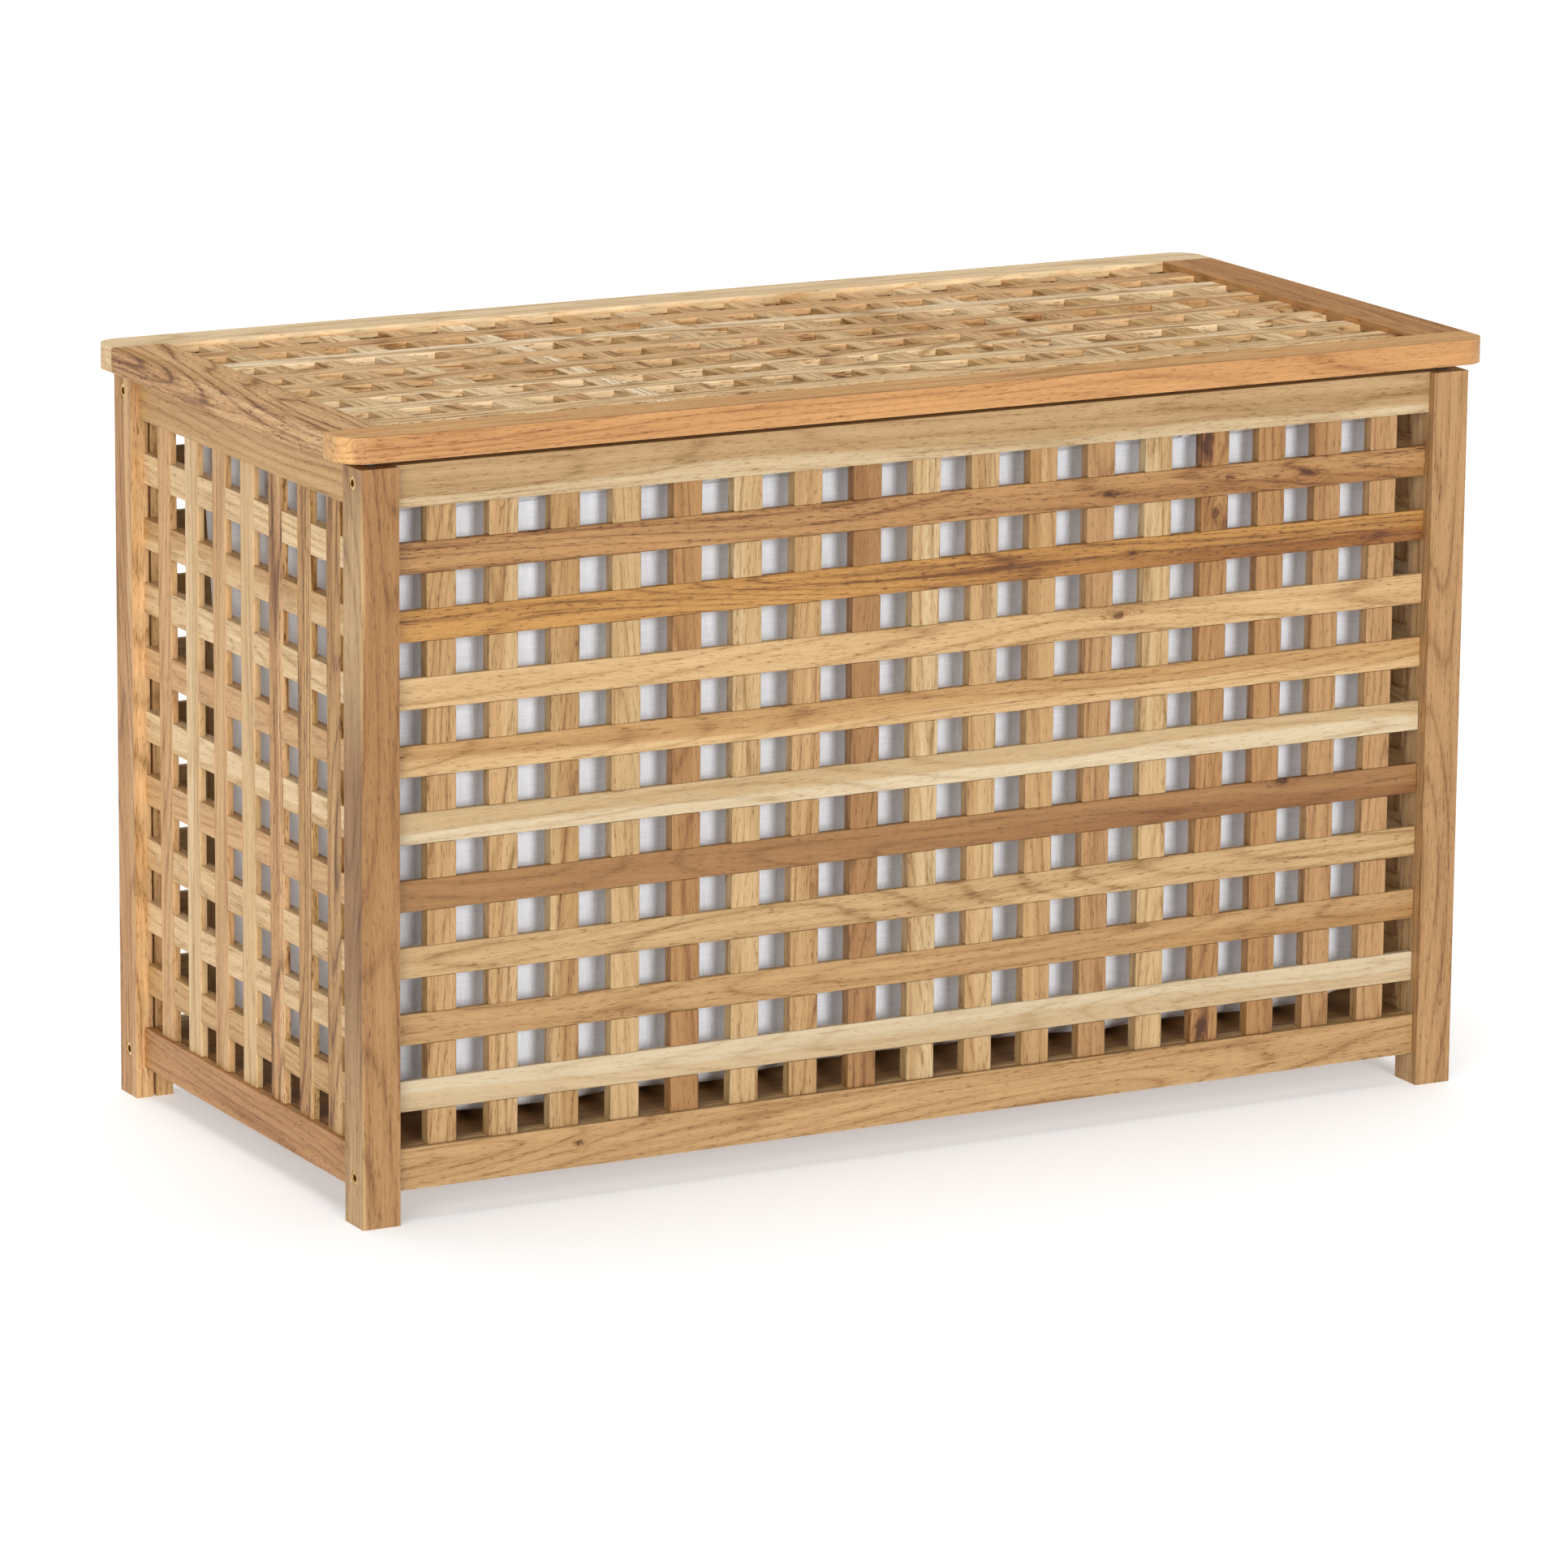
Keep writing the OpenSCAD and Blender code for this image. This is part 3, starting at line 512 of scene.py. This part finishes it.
def make_bag():
    """The bag as one shell: rings from the middle of its floor outwards, round the bottom edge, up the wall.

    A ring on the floor is the wall's lowest ring scaled towards the middle, with creases that fade outwards.
    The bottom edge is rounded by drawing the wall's lowest part in along a quarter ellipse, and it is carried
    a little above the board. The innermost ring is closed by one face.
    """
    wall_rows, floor_rows = 84, 26
    turn = np.arange(ROUND) / ROUND
    rise = np.linspace(0, 1, wall_rows) ** 0.9
    wall = []
    for h in rise:
        p, length = bag_wall(turn, h)
        low = max(0.0, 1 - h / 0.07)
        tuck = 0.024 * (1 - math.sqrt(1 - low ** 2))
        p[:, 2] += 0.007 * low * (1 + 0.6 * np.sin(TAU * 9 * turn + 1.0) * np.sin(TAU * 4 * turn))
        p[:, :2] *= 1 - tuck / np.linalg.norm(p[:, :2], axis=1, keepdims=True)
        wall.append(p)
    share = np.linspace(0.02, 1, floor_rows, endpoint=False)[:, None, None]
    floor = wall[0][None] * np.concatenate([share, share, np.ones_like(share)], -1)
    x, y = floor[..., 0], floor[..., 1]
    fade = np.clip(1 - share[..., 0], 0, 1) * 0.8 + 0.2
    lift = np.clip((share[..., 0] - 0.82) / 0.18, 0, 1) ** 2
    crease = 0.0016 * (1 + np.sin(31 * x + 19 * y + 2 * np.sin(23 * y)) * np.cos(17 * x - 38 * y))
    floor[..., 2] = FLOOR + CLEAR + lift * (wall[0][None, :, 2] - FLOOR - CLEAR) + (1 - lift) * fade * crease
    points = np.concatenate([floor.reshape(-1, 3), np.concatenate(wall)])
    rows = floor_rows + wall_rows
    v = np.repeat(np.concatenate([np.linspace(-0.16, 0, floor_rows), rise * (RIM - FLOOR)]), ROUND)
    bag = cloth_piece("cotton_bag", points, grid_faces(rows, ROUND, True),
                      np.stack([np.tile(turn * length, rows), v], -1), bag_cotton, 0.0008)
    bm = bmesh.new()
    bm.from_mesh(bag.data)
    innermost = [e for e in bm.edges if e.is_boundary and e.verts[0].co.z < 0.1]
    bmesh.ops.contextual_create(bm, geom=innermost)
    bm.to_mesh(bag.data)
    bm.free()
    return bag


def make_rim():
    """The bound rim: a U-shaped section carried round the bag's top edge, up outside, over, down inside."""
    turn = np.arange(ROUND) / ROUND
    top, length = bag_wall(turn, 1.0)
    under, _ = bag_wall(turn, 0.975)
    way = np.roll(top, -1, 0) - np.roll(top, 1, 0)
    out = np.stack([way[:, 1], -way[:, 0]], -1)
    out /= np.linalg.norm(out, axis=1, keepdims=True)
    section = np.array([(1, 0.0), (1, 0.33), (1, 0.66), (1, 0.9), (0.8, 1.0), (0, 1.03),
                        (-0.8, 1.0), (-1, 0.9), (-1, 0.66), (-1, 0.33), (-1, 0.0)])
    p = under[None] + (top - under)[None] * section[:, 1, None, None]
    p[..., :2] += out[None] * 0.0011 * section[:, 0, None, None]
    p[..., 2] += 0.0007 * (section[:, 1, None] > 0.99)
    v = np.repeat(np.cumsum([0, 8, 8, 5, 2, 1, 1, 2, 5, 8, 8]) * 0.001, ROUND)
    return cloth_piece("bag_rim", p.reshape(-1, 3), grid_faces(len(section), ROUND, True),
                       np.stack([np.tile(turn * length, len(section)), v], -1), binding_cotton, 0.0006, 1)


def make_tabs():
    """Six tabs: flat webbing carried up from the rim's outside and over to the hook tape, in one smooth S.

    Across the way from rim to tape the path is a smoothstep, and its height rises evenly.
    """
    tape_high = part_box("bag_hook_tapes")[1]
    rim_line, _ = bag_wall(np.linspace(0, 1, 2000, endpoint=False), 1.0)
    points, faces, uvs = [], [], []
    rows, cols = 24, 13
    s, across = np.linspace(0, 1, rows), np.linspace(-0.020, 0.020, cols)
    ease = np.clip((s - 0.30) / 0.5, 0, 1)
    ease = ease * ease * (3 - 2 * ease)
    for place, away in [((TAB, 0), (0, -1)), ((-TAB, 0), (0, -1)), ((TAB, 0), (0, 1)), ((-TAB, 0), (0, 1)),
                        ((0, 0), (1, 0)), ((0, 0), (-1, 0))]:
        d, w = np.array([*away, 0.0]), np.array([-away[1], away[0], 0.0])
        base = np.array([*place, 0.0])
        beside = (np.abs((rim_line - base) @ w) < 0.021) & (rim_line @ d > 0.1)
        near = (rim_line[beside] @ d).max() + 0.0025
        wide = (tape_high.x if away[0] else tape_high.y) - 0.0022
        out = near + (wide - near) * ease
        z = RIM - 0.011 + (tape_high.z - RIM + 0.010) * s
        p = base + d * out[:, None, None] + w * across[None, :, None]
        p = p + np.array([0, 0, 1.0]) * z[:, None, None]
        faces.append(grid_faces(rows, cols, False) + rows * cols * len(points))
        points.append(p.reshape(-1, 3))
        uvs.append(np.stack(np.broadcast_arrays(across[None, :], (s * 0.06)[:, None]), -1).reshape(-1, 2))
    return cloth_piece("bag_webbing_tabs", np.concatenate(points), np.concatenate(faces), np.concatenate(uvs),
                       binding_cotton, 0.0011)


bag, rim, tabs = make_bag(), make_rim(), make_tabs()
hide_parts("laundry_bag")
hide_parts("bag_hem")
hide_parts("bag_tabs")


# ---- floor, light and camera

floor_mesh = bpy.data.meshes.new("floor")
FAR = 14.0
floor_mesh.from_pydata([(-FAR, -FAR, 0), (FAR, -FAR, 0), (FAR, FAR, 0), (-FAR, FAR, 0)], [], [(0, 1, 2, 3)])
floor = bpy.data.objects.new("floor", floor_mesh)
scene.collection.objects.link(floor)
paint, t = material("floor, matt white paint")
node(t, "OutputMaterial", node(t, "BsdfPrincipled", sockets={
    "Base Color": linear("#E0E0E0"), "Roughness": 0.9, "Specular IOR Level": 0.1,
    "Emission Color": (1, 1, 1, 1), "Emission Strength": 0.36}))
floor_mesh.materials.append(paint)

world = bpy.data.worlds.new("studio")
scene.world = world
world.use_nodes = True
sky = world.node_tree.nodes["Background"]
sky.inputs["Color"].default_value = (1, 1, 1, 1)
sky.inputs["Strength"].default_value = 0.07


def towards(azimuth, elevation):
    """The direction at an azimuth from the front, anticlockwise from above, and an elevation, in degrees."""
    a, e = math.radians(azimuth), math.radians(elevation)
    return Vector((math.sin(a) * math.cos(e), -math.cos(a) * math.cos(e), math.sin(e)))


def large_lamp(name, azimuth, elevation, width, strength):
    """A lamp so far off that it shines from one direction everywhere, and is as wide in the sky as width."""
    lamp = bpy.data.lights.new(name, "SUN")
    lamp.angle, lamp.energy = math.radians(width), strength
    o = bpy.data.objects.new(name, lamp)
    o.rotation_euler = towards(azimuth, elevation).to_track_quat("Z", "Y").to_euler()
    scene.collection.objects.link(o)


large_lamp("front", -5, 13, 20, 2.1)
large_lamp("left", -48, 16, 34, 2.0)
large_lamp("top", 160, 74, 60, 2.3)


def set_camera(azimuth, elevation, roll, lens, middle, distance):
    """A camera on the line from middle at that azimuth and elevation, turned about its own axis by roll."""
    r = math.radians(roll)
    back = towards(azimuth, elevation)
    right = (-back).cross(Vector((0, 0, 1))).normalized()
    up = right.cross(-back)
    right, up = (math.cos(r) * right + math.sin(r) * up,
                 -math.sin(r) * right + math.cos(r) * up)
    camera = bpy.data.cameras.new("camera")
    camera.lens, camera.sensor_width, camera.sensor_fit = lens, 36.0, "HORIZONTAL"
    camera.clip_start, camera.clip_end = 0.1, 60
    o = bpy.data.objects.new("camera", camera)
    o.matrix_world = Matrix.Translation(Vector(middle) + back * distance) @ Matrix(
        (right, up, back)).transposed().to_4x4()
    scene.collection.objects.link(o)
    scene.camera = o


set_camera(-28.3145, 13.1491, 0.5097, 187.06, (-0.0055, 0, 0.22666), 5.90558)
scene.view_settings.view_transform = "Standard"
